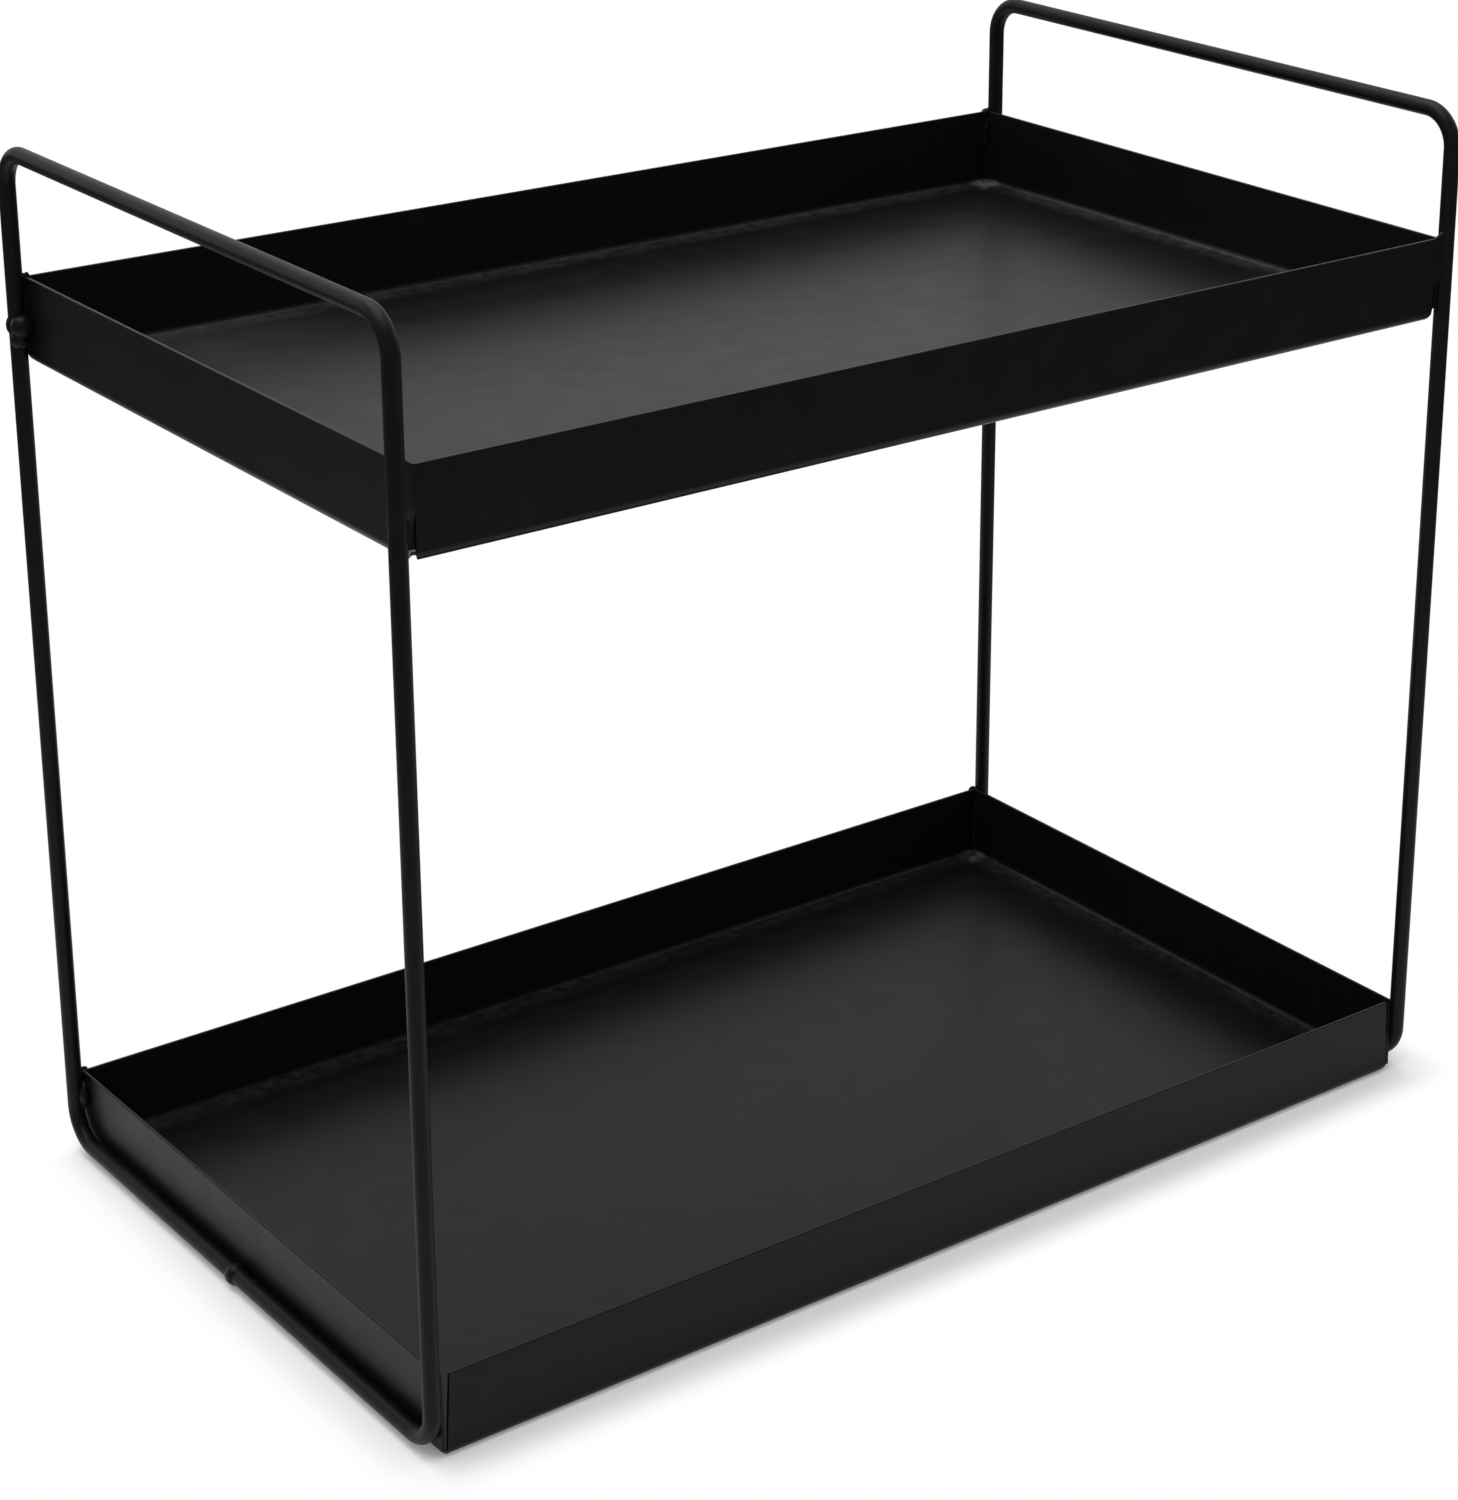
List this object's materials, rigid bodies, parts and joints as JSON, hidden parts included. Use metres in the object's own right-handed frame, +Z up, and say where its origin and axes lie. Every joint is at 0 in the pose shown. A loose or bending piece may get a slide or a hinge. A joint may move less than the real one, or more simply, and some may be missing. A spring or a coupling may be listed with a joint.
{
  "type": "two-tier kitchen rack",
  "caption": "Freestanding two-tier rack: two shallow folded sheet-steel trays welded between bent wire loops whose tops rise as carrying handles.",
  "frame": {"origin": "middle of the rack's footprint on the surface that it stands on", "axes": "+X along the trays' long side, to the right loop; +Y to the back; +Z up"},
  "size_m": [0.4504, 0.2635, 0.388],
  "materials": {
    "tray_paint": "satin black powder coat on folded sheet steel",
    "wire_paint": "satin black powder coat on bent steel wire",
    "weld_paint": "satin black powder coat over weld metal"
  },
  "bodies": {
    "root": {"lower_tray": "tray_paint", "upper_tray": "tray_paint", "left_wire_loop": "wire_paint", "right_wire_loop": "wire_paint", "lower_left_front_weld": "weld_paint", "lower_left_back_weld": "weld_paint", "lower_right_front_weld": "weld_paint", "lower_right_back_weld": "weld_paint", "upper_left_front_weld": "weld_paint", "upper_left_back_weld": "weld_paint", "upper_right_front_weld": "weld_paint", "upper_right_back_weld": "weld_paint", "lower_left_back_corner_weld": "weld_paint", "upper_left_front_corner_weld": "weld_paint", "upper_left_back_corner_weld": "weld_paint", "lower_right_back_corner_weld": "weld_paint", "upper_right_front_corner_weld": "weld_paint", "upper_right_back_corner_weld": "weld_paint", "left_butt_weld": "weld_paint", "right_butt_weld": "weld_paint"}
  },
  "joints": []
}
